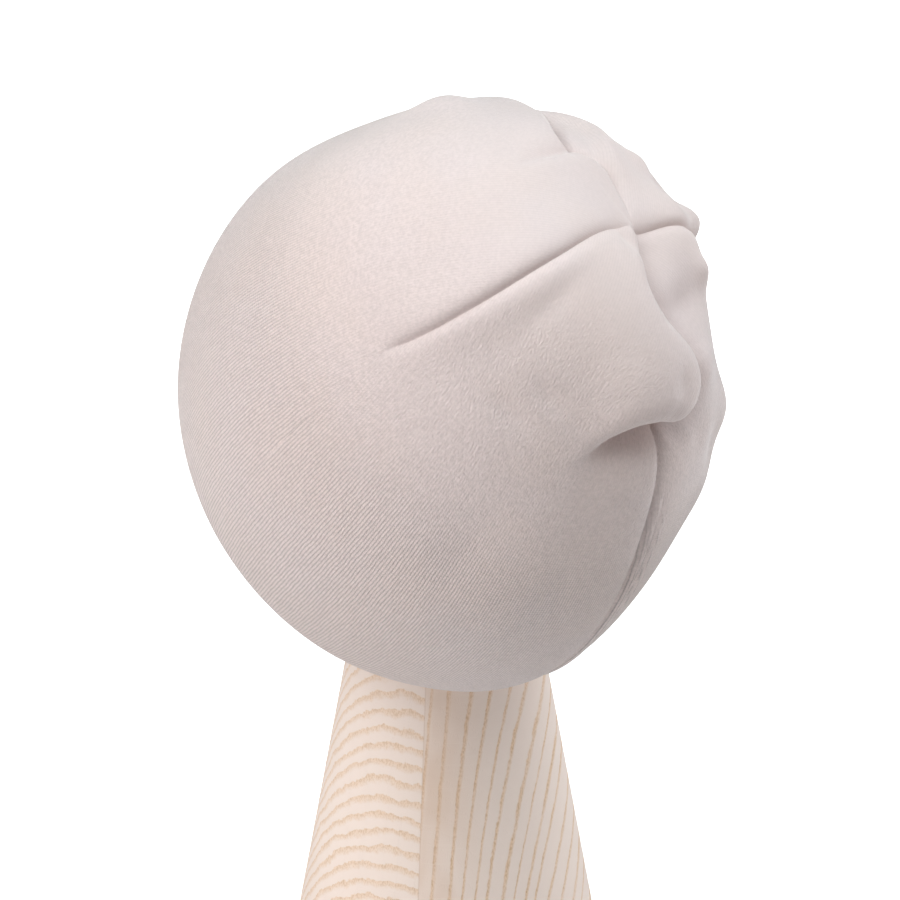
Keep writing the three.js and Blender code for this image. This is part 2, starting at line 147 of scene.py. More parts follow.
FRONT_LIP = table(
    "along across rise drop",
    (-80, -40, 0, 0),
    (-60, -36, 1.4, 5),
    (-45, -23, 2.4, 8),
    (-38, -13.5, 2.6, 10),
    (-33, -7.5, 2.6, 11),
    (-28, -5, 2.6, 9),
    (-25, -6, 2.8, 5),
    (-22, -9.5, 2.4, 3),
    (-18, -10.5, 1.6, 2),
    (-12, -8, 0.8, 1.2),
    (-5, -4.8, 0.4, 0.4),
    (0, -2, 0.2, 0),
    (5, -2, 0, 0),
)
FRONT_ROUND, FRONT_VALLEY, FRONT_REACH, FRONT_PUSH = 7.0, 2.8, 14.0, 0.3
LEFT_DART = table(
    "along across depth",
    (-2, 0, 0),
    (5, -0.8, 1.2),
    (12, -1.2, 2),
    (20, -0.6, 2.5),
    (30, 0.4, 2.8),
    (45, 0.6, 3),
    (60, -0.8, 2.8),
    (68, -2.6, 2.4),
    (73, -4.2, 1.8),
    (76, -5.8, 0),
)
RIGHT_DART = table(
    "along across depth",
    (-2, 0, 0),
    (6, 2, 1.8),
    (20, 2.8, 2.8),
    (32, 4.4, 2.8),
    (42, 5.4, 2.8),
    (54, 5.8, 2.4),
    (72, 5.8, 0),
)
PUCKER = table(
    "along across depth",
    (-8, -27, 0),
    (-2, -27, 2.6),
    (4, -27.5, 3.2),
    (11, -28.5, 2.4),
    (20, -29, 0),
)
BACK_SEAM = table(
    "along depth",
    (28, 0),
    (34, 1.5),
    (45, 2.2),
    (70, 1.8),
    (100, 1.4),
    (120, 1.2),
)
CREST_FRONT = table(
    "along across height",
    (-56, -43, 0),
    (-45, -38, 2),
    (-36, -34, 2.6),
    (-28, -24, 3.2),
    (-22, -18, 2.8),
    (-16, -15.5, 1.6),
    (-10, -15, 0),
)
CREST_LEFT = table(
    "along across height",
    (3, -0.5, 0),
    (12, -1.2, 1.6),
    (20, -0.6, 2.8),
    (30, 0.4, 3.2),
    (45, 0.6, 3.2),
    (60, -0.8, 2.6),
    (69, -3, 1.2),
    (77, -5.4, 0),
)
CREST_RIGHT = table(
    "along across height",
    (6, -1, 0),
    (13, 1.4, 1.4),
    (20, 2.6, 2.6),
    (28, 3.8, 2.3),
    (38, 5, 1.1),
    (47, 5.4, 0.4),
    (60, 5.6, 0),
)
SWELLS = table(
    "down longitude tall wide height",
    (22.5, 300, 5, 4, 2.5),
    (34, 272, 9, 8, 2.8),
    (24, 239, 5, 7, 2.4),
    (17.5, 259, 4, 7, 1.0),
    (30, 272, 4.5, 5, 1.5),
    (20, 286, 8, 10, 1.5),
    (18.6, 331, 5.5, 10, -2.8),
    (30, 337, 7, 9, 2.5),
    (30, 255, 6, 6, -2.5),
    (48, 188, 11, 9, 3),
    (46, 207, 10, 8, 1),
    (50, 318, 10, 9, 3.2),
    (62, 328, 12, 14, 1.8),
)

# %% [markdown]
# A cubic Hermite curve joins the stations of a table. Its slope is zero where the column turns back, so
# the curve never swings past a value in the table and a fold keeps the depth it was given.

# %% Curves and small shapes


def ramp(x, low=0.0, high=1.0):
    """Smoothstep: 0 below low, 1 above high, t squared times (3 - 2t) between them."""
    t = np.clip((x - low) / (high - low), 0, 1)
    return t * t * (3 - 2 * t)


def hermite(y1, y2, m1, m2, span, t):
    """Cubic from y1 to y2 over a span, with slopes m1 and m2 at its ends, at t from 0 to 1."""
    body = y1 * (1 + 2 * t) * (1 - t) ** 2 + y2 * t * t * (3 - 2 * t)
    return body + span * m1 * t * (1 - t) ** 2 - span * m2 * t * t * (1 - t)


CURVE_STEP, CURVE_BLUR = 0.25, 2.0      # mm: how finely a curve is kept, and how softly it is blended


def along(rows, key, at):
    """A column of a table at a station: Hermite through its rows, then blurred so no kink shows."""
    x, y = rows["along"], rows[key]
    rise = np.diff(y) / np.diff(x)
    before, after = rise[:-1], rise[1:]
    turn = before * after <= 0
    total = np.where(turn, 1, before + after)
    slope = np.concatenate([rise[:1], np.where(turn, 0, 2 * before * after / total), rise[-1:]])
    fine = np.arange(x[0] - 12, x[-1] + 12, CURVE_STEP)
    at_fine = np.clip(fine, x[0], x[-1])
    i = np.clip(np.searchsorted(x, at_fine, side="right") - 1, 0, len(x) - 2)
    span = x[i + 1] - x[i]
    curve = hermite(y[i], y[i + 1], slope[i], slope[i + 1], span, (at_fine - x[i]) / span)
    taps = np.arange(-24, 25) * CURVE_STEP
    kernel = np.exp(-0.5 * (taps / CURVE_BLUR) ** 2)
    padded = np.pad(curve, 24, mode="edge")
    return np.interp(at, fine, np.convolve(padded, kernel / kernel.sum(), mode="valid"))


def soft_min(a, b, rounding):
    """The smaller of two distances, rounded where they meet: -k log(exp(-a/k) + exp(-b/k))."""
    k = rounding / 2.8
    least = np.minimum(a, b)
    return least - k * np.log1p(np.exp(-np.abs(a - b) / k))


def lip_shape(s, width):
    """A rolled lip's height from 0 at its edge to 1 a width inside it: 1 - (1 - s/width) to the 2.6."""
    return 1 - (1 - np.clip(s / width, 0, 1)) ** 2.6


def bell(x):
    """exp(-x squared)."""
    return np.exp(-x * x)


def fall(s, width, power):
    """exp(-(s/width) to a power), and 1 where s is below zero."""
    return np.exp(-((np.maximum(s, 0) / width) ** power))


# %% [markdown]
# A place on the hat is given by how far down it is from the crown point and by its longitude, 0 at the
# back seam and 90 at the wearer's left. The crown point itself leans to one side, because the hat is
# slouched, and the lean fades out lower down.

# %% Directions and fullness


def unit(v):
    """Vectors divided by their own lengths."""
    return v / np.maximum(np.linalg.norm(v, axis=-1, keepdims=True), 1e-12)


def direction(down, longitude):
    """Unit vector (up, back, side): spherical about an axis that leans by CROWN_LEAN at the crown."""
    down, longitude = np.broadcast_arrays(np.asarray(down, float), np.asarray(longitude, float))
    lean = np.radians(CROWN_LEAN) * ramp(1 - down / CROWN_LEAN_END)
    up = np.cos(np.radians(down))
    back = np.sin(np.radians(down)) * np.cos(np.radians(longitude))
    side = np.sin(np.radians(down)) * np.sin(np.radians(longitude))
    c, s = np.cos(lean), np.sin(lean)
    return np.stack([up * c + side * s, back, side * c - up * s], axis=-1)


def fullness_rows(down, longitude):
    """FULLNESS between its rows by Catmull-Rom round the hat, and by Hermite down it."""
    n = len(FULLNESS)
    place = (longitude % 360) / 360 * n
    i = np.floor(place).astype(int) % n
    t = (place - np.floor(place))[..., None]
    p0, p1, p2, p3 = (FULLNESS[(i + k) % n] for k in (-1, 0, 1, 2))
    cubic = (3 * p1 - p0 - 3 * p2 + p3) * t**3
    ring = 0.5 * (2 * p1 + (p2 - p0) * t + (2 * p0 - 5 * p1 + 4 * p2 - p3) * t * t + cubic)
    last = len(FULL_AT) - 1
    j = np.clip(np.searchsorted(FULL_AT, down, side="right") - 1, 0, last - 1)

    def value(k):
        return np.take_along_axis(ring, np.clip(k, 0, last)[..., None], axis=-1)[..., 0]

    def slope(k):
        flat = (k == 0) | (k == last)
        lo, hi = np.clip(k - 1, 0, last), np.clip(k + 1, 0, last)
        return np.where(flat, 0, (value(hi) - value(lo)) / (FULL_AT[hi] - FULL_AT[lo]))

    span = FULL_AT[j + 1] - FULL_AT[j]
    t = np.clip((down - FULL_AT[j]) / span, 0, 1)
    return hermite(value(j), value(j + 1), slope(j), slope(j + 1), span, t)


def fullness(down, longitude):
    """The mean of fullness_rows over a few degrees down and round, which takes off its kinks."""
    taps, total = ((-4, 1), (-2, 2), (0, 3), (2, 2), (4, 1)), 0
    for step, weight in taps:
        for turn, share in ((-5, 1), (0, 2), (5, 1)):
            total = total + weight * share * fullness_rows(np.abs(down + step), longitude + turn)
    return total / 36


# %% [markdown]
# Two folds hide a sewn line: the slouched flap of the back left panel lies over the back seam, and the
# front left panel rolls over the front dart. Each is a lip: the cloth stands up on one side of a curve,
# drops into a valley on the other side, and is pushed a little out over it. The darts, the pucker and
# the lower back seam are sharp valleys, deepest on their line.

# %% Folds of the crown


def flap_distance(x, y, corner=FLAP_CORNER):
    """Distance inside the flap: the rounded smaller of the distances to its two lips."""
    side = y - along(FLAP_SIDE, "across", x)
    end = along(FLAP_END, "across", y) - x
    return soft_min(side, end, corner)


def front_distance(x, y):
    """Distance inside the front left panel's lip."""
    return y - along(FRONT_LIP, "across", x)


def steepness(distance, x, y, e=0.25):
    """Unit gradient of a distance function and its size, by central differences."""
    gx = (distance(x + e, y) - distance(x - e, y)) / (2 * e)
    gy = (distance(x, y + e) - distance(x, y - e)) / (2 * e)
    size = np.hypot(gx, gy) + 1e-9
    return gx / size, gy / size, size


def flap(x, y):
    """Height and sideways push of the slouched flap."""
    gx, gy, size = steepness(flap_distance, x, y)
    flat = flap_distance(x, y)
    even = 1.15 / np.sqrt(np.maximum(size, 0.9) ** 2 + 0.3225)
    s, inner = flat * even, flap_distance(x, y, PUFF_CORNER) * even
    dart_side = 1 - ramp(y, -2, 6) / (1 + np.exp((x - 2) / 3))
    rise = (x > -30) * along(FLAP_SIDE, "rise", x) * along(FLAP_END, "keep", y)
    shape = 0.8 * lip_shape(s, FLAP_LIP) + 0.2 * lip_shape(inner, FLAP_PUFF)
    height = rise * shape * fall(flat - 6, FLAP_REACH, 2) * dart_side
    drop = along(FLAP_SIDE, "drop", x) * along(FLAP_END, "under", y) * np.clip((x + 5) / 8, 0, 1)
    height = height - drop * fall(-s, VALLEY_WIDTH, 1.5) * (1 - lip_shape(s, FLAP_LIP))
    push = FLAP_PUSH * rise * bell((s - 3) / 2.8)
    return height, -gx * push, -gy * push


def front_lip(x, y):
    """Height and sideways push of the front left panel's lip."""
    gx, gy, size = steepness(front_distance, x, y)
    flat = front_distance(x, y)
    s = flat * 1.28 / np.sqrt(size * size + 0.64)
    forward = np.clip((2 - x) / 6, 0, 1)
    rise = along(FRONT_LIP, "rise", x) * forward
    drop = along(FRONT_LIP, "drop", x) * forward
    height = rise * lip_shape(s, FRONT_ROUND) * fall(flat - FRONT_ROUND, FRONT_REACH, 2)
    height = height - drop * fall(-s, FRONT_VALLEY, 1.4) * (1 - lip_shape(s, 5))
    push = FRONT_PUSH * rise * bell((s - 3) / 3)
    return height, -gx * push, -gy * push


def valley(rows, station, across, near, far):
    """Depth of a stitched valley: its table's depth, falling off as exp(-distance/width) each side."""
    d = across - along(rows, "across", station)
    return along(rows, "depth", station) * np.exp(-np.abs(d) / np.where(d > 0, far, near))


def ridge(rows, station, across, below, above):
    """Height of a soft ridge: its table's height times exp(-(distance/width) squared)."""
    d = across - along(rows, "across", station)
    return along(rows, "height", station) * bell(d / np.where(d > 0, above, below))


def seam_distance(down, longitude):
    """Signed distance round the hat from the back seam, mm."""
    turn = (longitude + 180) % 360 - 180
    return PLAN_RADIUS * np.sin(np.radians(down)) * np.radians(turn)


def bumps(rows, where):
    """Sum of soft swellings: height times exp(-(a/tall)^2 - (b/wide)^2) about each centre."""
    total = np.zeros(where.shape[:-1])
    for row in zip(*rows.values()):
        down, longitude, tall, wide, height = row
        centre = direction(down, longitude)
        step = direction(down + 1, longitude) - centre
        step = unit(step - centre * (step @ centre))
        a = (where @ step) * PLAN_RADIUS / tall
        b = (where @ np.cross(centre, step)) * PLAN_RADIUS / wide
        total += np.where(where @ centre > 0, height * np.exp(-(a * a + b * b)), 0)
    return total


# %% [markdown]
# The outer face adds all of that to the head form along its normal, and slides each point sideways by
# the pushes. The frame of the head is then tilted back and set on the stand.

# %% The outer face
TILT = np.radians(HEAD_TILT)
AXES = np.array([[0, np.sin(TILT), np.cos(TILT)], [0, np.cos(TILT), -np.sin(TILT)], [1, 0, 0]])
# widths in mm: near and far side of a valley, below and above a crest
PUCKER_WIDTHS, LEFT_DART_WIDTHS, RIGHT_DART_WIDTHS = (4, 2.6), (1.6, 2.2), (1.2, 3.2)
FRONT_CREST_WIDTHS, LEFT_CREST_WIDTHS, RIGHT_CREST_WIDTHS = (8.0, 4.5), (12.0, 9.0), (11.0, 8.0)
BACK_SEAM_WIDTH = 2.2


def plan(down, longitude):
    """Plan place of a point: its arc from the crown, turned by its longitude."""
    s = np.radians(down) * PLAN_RADIUS
    return s * np.cos(np.radians(longitude)), s * np.sin(np.radians(longitude))


def outer_height(down, longitude, where, detail):
    """Height over the head form, and the sideways pushes in the plan."""
    x, y = plan(down, longitude)
    height = fullness(down, longitude)
    flap_height, flap_x, flap_y = flap(x, y)
    lip_height, lip_x, lip_y = front_lip(x, y)
    height = height + flap_height + lip_height - valley(PUCKER, y, x, *PUCKER_WIDTHS)
    height -= np.where(y > -2, valley(LEFT_DART, y, x, *LEFT_DART_WIDTHS), 0)
    height -= np.where(y < 2, valley(RIGHT_DART, -y, x, *RIGHT_DART_WIDTHS), 0)
    front_crest = ridge(CREST_FRONT, x, y, *FRONT_CREST_WIDTHS)
    height += front_crest + ridge(CREST_LEFT, y, x, *LEFT_CREST_WIDTHS)
    height += ridge(CREST_RIGHT, -y, x, *RIGHT_CREST_WIDTHS)
    seam = seam_distance(down, longitude)
    height -= along(BACK_SEAM, "depth", down) * np.exp(-np.abs(seam) / BACK_SEAM_WIDTH)
    height += bumps(SWELLS, where)
    height -= RIM_TUCK * np.clip((down - RIM_ANGLE + RIM_TUCK_SPAN) / RIM_TUCK_SPAN, 0, 1) ** 2
    return height + detail, flap_x + lip_x, flap_y + lip_y


def outer_face(down, longitude, detail=0.0):
    """Points of the outer face in the row frame, mm: head form + height along its normal + pushes."""
    where = direction(down, longitude)
    height, push_x, push_y = outer_height(down, longitude, where, detail)
    normal = unit(where / HEAD_SEMI)
    downward = unit(direction(down + 0.1, longitude) - where)
    around = -np.cross(downward, where)
    c, n = np.cos(np.radians(longitude)), np.sin(np.radians(longitude))
    point = where * HEAD_SEMI + normal * height[..., None]
    point = point + downward * (push_x * c + push_y * n)[..., None]
    point = point + around * (push_y * c - push_x * n)[..., None]
    return HEAD_CENTRE + point @ AXES

# %% [markdown]
# The wales of the knit, its long ribs, run from the rim up to the crown. A plain grid of the hat would
# cut across the darts and lips and fray their edges. So the columns of the grid follow the four sewn
# lines, which split the crown into four panels, and they crowd together near them, where the cloth
# bends most.

# %% Rows and columns of the cloth
PANEL_COLUMNS, CROWDING = 104, 0.6
ROW_SPANS = ((24.0, 58), (42.0, 52), (62.0, 46), (RIM_ANGLE, 62))     # degrees down, rows to there
GUIDE_END, GUIDE_FADE = 34.0, 16.0


def row_angles(spans):
    """Angles down from the crown, evenly spaced within each span."""
    angles, start = [], 0.0
    for end, count in spans:
        angles.append(start + (end - start) * np.arange(1, count + 1) / count)
        start = end
    return np.concatenate(angles)


def guides(down):
    """Longitudes of the back seam, left dart, front lip and right dart at each row, then the seam again."""
    s = np.radians(down) * PLAN_RADIUS
    keep = 1 - ramp(down, GUIDE_END, GUIDE_END + GUIDE_FADE)
    at_back = np.degrees(np.arctan2(along(FLAP_SIDE, "across", s), s)) * keep
    at_left = np.degrees(np.arctan2(s, along(LEFT_DART, "across", s)))
    at_front = 180 - np.degrees(np.arctan2(along(FRONT_LIP, "across", -s), s))
    at_right = 270 + np.degrees(np.arctan2(along(RIGHT_DART, "across", s), s))
    return np.stack([at_back, at_left, at_front, at_right, at_back + 360])


def panel_longitudes(down, count):
    """Longitudes on a grid of (row, panel, column): t - CROWDING sin(2 pi t) / 2 pi between two guides."""
    lines = guides(down)
    t = np.arange(count + 1) / count
    t = t - CROWDING * np.sin(2 * np.pi * t) / (2 * np.pi)
    return lines[:4].T[:, :, None] + (lines[1:] - lines[:4]).T[:, :, None] * t


down_rows = row_angles(ROW_SPANS)
panels = panel_longitudes(down_rows, PANEL_COLUMNS)
print("cloth grid:", panels.shape)

# %% [markdown]
# Knitting bends only so far, so small things show in it that are no fold: the seam allowance pressed to
# one side of the back seam, the fine gathers beside it, soft dents where the cloth rests on the head,
# and a thin crease over the front. They are added to the height.

# %% Small things in the cloth
SEAM_BAND, SEAM_BAND_HEIGHT = 3.2, 0.8        # mm wide and proud, on the wearer's right of the seam
GATHER_PITCH, GATHER_HEIGHT = 1.3, 0.22
CREASE = table(
    "along across depth",
    (-31, -50, 0),
    (-26, -46, 1.2),
    (-20, -41, 1.6),
    (-15, -37.5, 1.6),
    (-11, -34, 1),
    (-7, -30, 0),
)
DENTS = table(
    "down longitude tall wide height",
    (66, 48, 16, 9, -0.9),
    (70, 22, 18, 6, -0.7),
    (58, 34, 8, 14, 0.6),
    (46, 110, 10, 16, 0.5),
    (60, 75, 12, 20, 0.4),
    (28, 7, 3, 2.5, -0.7),
    (4.2, 51, 4, 4, -1.6),
    (43, 341, 7, 6, -1.0),
    (53, 327, 8, 6, -1.2),
    (40.7, 59.4, 4, 8, -1.1),
    (35.5, 53, 3.5, 6, -0.9),
    (23.5, 74, 12, 3.5, -0.7),
)


def soft_box(x, low, high, edge):
    """1 between low and high, falling to 0 over an edge on each side."""
    return ramp(x, low - edge, low + edge) * (1 - ramp(x, high - edge, high + edge))


def small_things(down, longitude):
    """Heights of the seam allowance, its gathers, the crease and the dents, mm."""
    x, y = plan(down, longitude)
    off = -seam_distance(down, longitude)
    below = ramp(down, 48, 54)
    height = SEAM_BAND_HEIGHT * soft_box(off, 0.7, SEAM_BAND, 0.7) * below
    fan = (off - 0.2 * (down - 55)) / GATHER_PITCH
    height += GATHER_HEIGHT * np.sin(2 * np.pi * fan) * soft_box(off, 1, 9, 1.5) * soft_box(down, 52, 78, 8)
    height -= valley(CREASE, x, y, 1.2, 2.0)
    outside = flap_distance(x, y) + 1.9
    height += 0.8 * bell(outside / 0.8) * soft_box(x, 44, 62, 3) * soft_box(y, -12, 3, 3)
    height += bumps(DENTS, direction(down, longitude))
    return height


detail = small_things(down_rows[:, None, None], panels)
print("small things from %.2f to %.2f mm" % (detail.min(), detail.max()))

# %% [markdown]
# Every surface here is a grid of points. One helper joins the neighbours into four-sided faces, closes
# the crown with a fan of triangles, and stores where each corner lies in the knit, so that the stitches
# later run along the cloth and not across it.

# %% A grid becomes a mesh


def new_mesh(name, points, corners, sizes, knit=None):
    """Fills a mesh from whole arrays: points in mm, corner indices, corners per face, knit places."""
    mesh = bpy.data.meshes.new(name)
    mesh.vertices.add(len(points))
    mesh.vertices.foreach_set("co", (points / 1000).astype(np.float32).ravel())
    mesh.loops.add(len(corners))
    mesh.loops.foreach_set("vertex_index", corners.astype(np.int32))
    mesh.polygons.add(len(sizes))
    starts = np.concatenate([[0], np.cumsum(sizes)[:-1]])
    mesh.polygons.foreach_set("loop_start", starts.astype(np.int32))
    mesh.update(calc_edges=True)
    if knit is not None:
        layer = mesh.uv_layers.new(name="knit")
        layer.uv.foreach_set("vector", knit.astype(np.float32).ravel())
    mesh.polygons.foreach_set("use_smooth", np.ones(len(sizes), bool))
    mesh.validate()
    piece = bpy.data.objects.new(name, mesh)
    bpy.context.scene.collection.objects.link(piece)
    print(name, len(points), "points,", int((sizes - 2).sum()), "triangles")
    return piece


def ring_mesh(name, rings, pole=None, last=None, knit=None, inward=False):
    """Faces between rings (row, column, xyz); pole and last close the ends.

    knit is (row, panel, n + 1, 2).
    """
    rows, columns = rings.shape[:2]
    here = np.arange(rows * columns).reshape(rows, columns)
    beside = np.roll(here, -1, axis=1)
    quads = np.stack([here[:-1], here[1:], beside[1:], beside[:-1]], -1).reshape(-1, 4)
    points, groups, places = [rings.reshape(-1, 3)], [quads], []
    if knit is not None:
        cut = [knit[:-1, :, :-1], knit[1:, :, :-1], knit[1:, :, 1:], knit[:-1, :, 1:]]
        places.append(np.stack([c.reshape(-1, 2) for c in cut], 1))
    for end, row, turned in ((pole, 0, False), (last, -1, True)):
        if end is None:
            continue
        tip = np.full(columns, sum(len(p) for p in points))
        points.append(np.asarray(end, float).reshape(1, 3))
        fan = [tip, beside[row], here[row]] if turned else [tip, here[row], beside[row]]
        groups.append(np.stack(fan, -1))
        if knit is not None:
            a, b = knit[row, :, :-1].reshape(-1, 2), knit[row, :, 1:].reshape(-1, 2)
            places.append(np.stack([(a + b) / 2, b, a] if turned else [(a + b) / 2, a, b], 1))
    if inward:
        groups = [g[:, ::-1] for g in groups]
        places = [p[:, ::-1] for p in places]
    corners = np.concatenate([g.ravel() for g in groups])
    sizes = np.concatenate([np.full(len(g), g.shape[1]) for g in groups])
    laid = np.concatenate([p.reshape(-1, 2) for p in places]) if places else None
    return new_mesh(name, np.concatenate(points), corners, sizes, laid)


# %% [markdown]
# The stitches need a flat map of the cloth. Below the darts the ribs follow the longitudes all round.
# Above the dart tips each panel keeps its ribs parallel to its own middle, and the darts cut them off,
# as they do on a hat cut from flat jersey. The map is kept in decimetres, so its numbers stay small.

# %% Where each point lies in the knit
DART_TIP = 51.0                   # degrees down where the sewn darts end
KNIT_ARC = 92.0                   # mm of cloth for each radian down


def knit_places(down, longitude):
    """(ribs, rows) in decimetres: radius x (middle + (longitude - middle) x narrowing), arc x angle."""
    middle = np.array([45.0, 135.0, 225.0, 315.0])[:, None]
    full = np.sin(np.radians(DART_TIP))
    narrow = soft_min(np.sin(np.radians(down)), full, 0.16) / full
    ribs = np.radians(middle + (longitude - middle) * narrow) * KNIT_ARC
    courses = np.broadcast_to(np.radians(down) * KNIT_ARC, longitude.shape)
    return np.stack([ribs, courses], -1) / 100


knit = knit_places(np.minimum(down_rows, 90)[:, None, None], panels)
knit[..., 1] = (np.radians(down_rows) * KNIT_ARC / 100)[:, None, None]

# %% [markdown]
# At the rim the tube of jersey is simply folded inward, so the edge is a soft roll with no stitching.
# The outer cloth goes round the roll and a little way up inside. The lining is the same tube going on
# up, and it is a second, coarser piece, because only its lower part is ever in view.

# %% The outer cloth and its rolled rim
ROLL_RADIUS, ROLL_STEPS, HEM_DEPTH, HEM_STEPS = 1.25, 8, 5.0, 4


def face_normals(down, longitude, extra, e=0.5):
    """Outward unit normals of the outer face by central differences over e degrees."""
    wide = e / np.maximum(np.sin(np.radians(down)), 0.05)
    a = outer_face(down + e, longitude, extra) - outer_face(np.maximum(down - e, 0.01), longitude, extra)
    b = outer_face(down, longitude + wide, extra) - outer_face(down, longitude - wide, extra)
    normal = unit(np.cross(a, b))
    out = direction(down, longitude) @ AXES
    return normal * np.sign((normal * out).sum(-1, keepdims=True))


def flat_rows(panel_grid):
    """(row, panel, column) to (row, all columns), without each panel's shared last column."""
    return panel_grid[:, :, :-1].reshape(len(panel_grid), -1)


outer = outer_face(down_rows[:, None], flat_rows(panels), flat_rows(detail))
rim_down = np.array([[RIM_ANGLE]])
rim_turns = flat_rows(panels[-1:])
rim_extra = flat_rows(detail[-1:])
rim = outer[-1:]
rim_out = face_normals(rim_down, rim_turns, rim_extra)
rim_along = unit(rim - outer_face(rim_down - 0.5, rim_turns, rim_extra))
turn = np.pi * np.arange(1, ROLL_STEPS + 1)[:, None, None] / ROLL_STEPS
roll = rim - rim_out * ROLL_RADIUS + ROLL_RADIUS * (rim_out * np.cos(turn) + rim_along * np.sin(turn))
rise = HEM_DEPTH * np.arange(1, HEM_STEPS + 1)[:, None, None] / HEM_STEPS
hem = roll[-1:] - rim_along * rise + rim_out * 0.02 * rise
crown = outer_face(np.array(0.0), np.array(0.0), 0.0)
beyond = np.concatenate([ROLL_RADIUS * turn[:, 0, 0], ROLL_RADIUS * np.pi + rise[:, 0, 0]]) / 100
knit_rim = np.repeat(knit[-1:], len(beyond), axis=0)
knit_rim[..., 1] += beyond[:, None, None]
beanie = ring_mesh(
    "beanie_outer",
    np.concatenate([outer, roll, hem]),
    pole=crown,
    knit=np.concatenate([knit, knit_rim]),
)

# %% [markdown]
# Inside, the cloth lies on the head form. The flap and the rolled lips are folds of the outer cloth, so
# the lining passes under them: it never stands more than a little proud of the fullness, and it follows
# each valley at a fixed depth along the head form's own normal, which keeps the two from crossing.

# %% The lining
LINING_DEPTH, LINING_COLUMNS, LINING_PROUD = 1.9, 40, 1.0


def inner_face(down, longitude):
    """Head form + (the lesser of the outer height and fullness + LINING_PROUD, less the depth) x normal."""
    where = direction(down, longitude)
    height, _, _ = outer_height(down, longitude, where, 0.0)
    height = np.minimum(height, fullness(down, longitude) + LINING_PROUD) - LINING_DEPTH
    return HEAD_CENTRE + (where * HEAD_SEMI + unit(where / HEAD_SEMI) * height[..., None]) @ AXES


lining_rows = row_angles(((24.0, 22), (42.0, 22), (62.0, 20), (RIM_ANGLE - 1.0, 30)))
lining_turns = panel_longitudes(lining_rows, LINING_COLUMNS)
lining_flat, lining_down = flat_rows(lining_turns), lining_rows[:, None]
lining_points = inner_face(lining_down, lining_flat)
lining_knit = knit_places(lining_rows[:, None, None], lining_turns)
inside_crown = inner_face(np.array(0.0), np.array(0.0))
lining = ring_mesh("beanie_lining", lining_points, pole=inside_crown, knit=lining_knit, inward=True)

# %% [markdown]
# The stand is turned on a lathe from two boards glued face to face: a plain cone, eased to a post that
# goes up inside the hat. It is one profile turned about the axis. The tool leaves very faint rings, and
# they are put in the profile, not only in the finish.

# %% The turned stand
BASE_RADIUS, CONE_TAPER, POST_RADIUS, POST_TOP = 49.5, 0.162, 21.0, 305.3
BASE_EASE, NECK_SPAN, STAND_COLUMNS = 1.5, 12.0, 224


def cone_radius(z):
    """Straight taper down to the post's radius, rounded where they meet: r + span (1 - t) squared."""
    cone_end = (BASE_RADIUS - POST_RADIUS) / CONE_TAPER
    t = np.clip((z - cone_end) / (2 * NECK_SPAN) + 0.5, 0, 1)
    neck = POST_RADIUS + CONE_TAPER * NECK_SPAN * (1 - t) ** 2
    return np.where(z < cone_end - NECK_SPAN, BASE_RADIUS - CONE_TAPER * z, neck)


def tool_marks(z):
    """Faint rings left by the tool: three sines of unlike pitch, 0.02 mm at most."""
    return 0.012 * np.sin(z * 2.9) + 0.008 * np.sin(z * 1.13 + 1) + 0.006 * np.sin(z * 0.47 + 2)


ease = np.linspace(0, np.pi / 2, 7)
foot_z = BASE_EASE * (1 - np.cos(ease))
foot_r = BASE_RADIUS - CONE_TAPER * BASE_EASE - BASE_EASE * (1 - np.sin(ease))
side_z = np.linspace(BASE_EASE, POST_TOP - POST_RADIUS, 330)[1:]
dome = np.linspace(0, np.pi / 2, 20)[1:-1]
profile_z = np.concatenate([foot_z, side_z, POST_TOP - POST_RADIUS * (1 - np.sin(dome))])
side_r = cone_radius(side_z) + tool_marks(side_z) * ramp(side_z, 2, 8) * ramp(-side_z, -280, -270)
profile_r = np.concatenate([foot_r, side_r, POST_RADIUS * np.cos(dome)])
spin = -2 * np.pi * np.arange(STAND_COLUMNS) / STAND_COLUMNS
stand_rings = np.stack(
    [
        profile_r[:, None] * np.cos(spin),
        profile_r[:, None] * np.sin(spin),
        np.broadcast_to(profile_z[:, None], (len(profile_z), STAND_COLUMNS)),
    ],
    -1,
)
stand = ring_mesh("stand_turned", stand_rings, pole=(0, 0, 0), last=(0, 0, POST_TOP))

# %% [markdown]
# A material is a small network of nodes. Most of what these need is arithmetic on coordinates, so two
# helpers keep the cells short: one adds a node, the other adds a sum or a product and hands on its
# result. An effect that more than one material uses is a node group with named inputs.

# %% Node helpers


def node(tree, kind, **settings):
    """Adds a node and sets its properties by name."""
    made = tree.nodes.new("ShaderNode" + kind)
    for name, value in settings.items():
        setattr(made, name, value)
    return made


def join(tree, socket, value):
    """Links value to a socket if it is an output, or sets it there if it is a constant."""
    if isinstance(value, bpy.types.NodeSocket):
        tree.links.new(value, socket)
    else:
        socket.default_value = value


def sums(tree, operation, *values, clamp=False):
    """The result of a Math node: values are numbers or sockets."""
    made = node(tree, "Math", operation=operation, use_clamp=clamp)
    for socket, value in zip(made.inputs, values):
        join(tree, socket, value)
    return made.outputs[0]


def spread(tree, value, low, high, to_low=0.0, to_high=1.0, smooth=True):
    """Carries a value from one range to another, clamped, by a Map Range node."""
    made = node(tree, "MapRange", interpolation_type="SMOOTHSTEP" if smooth else "LINEAR")
    names = ("Value", "From Min", "From Max", "To Min", "To Max")
    for name, given in zip(names, (value, low, high, to_low, to_high)):
        join(tree, made.inputs[name], given)
    return made.outputs["Result"]


def blend_colour(tree, share, one, other, mode="MIX"):
    """Mixes two colours by a share."""
    made = node(tree, "Mix", data_type="RGBA", blend_type=mode)
    join(tree, made.inputs[0], share)
    for socket, value in ((made.inputs[6], one), (made.inputs[7], other)):
        join(tree, socket, (*value, 1.0) if isinstance(value, tuple) and len(value) == 3 else value)
    return made.outputs[2]


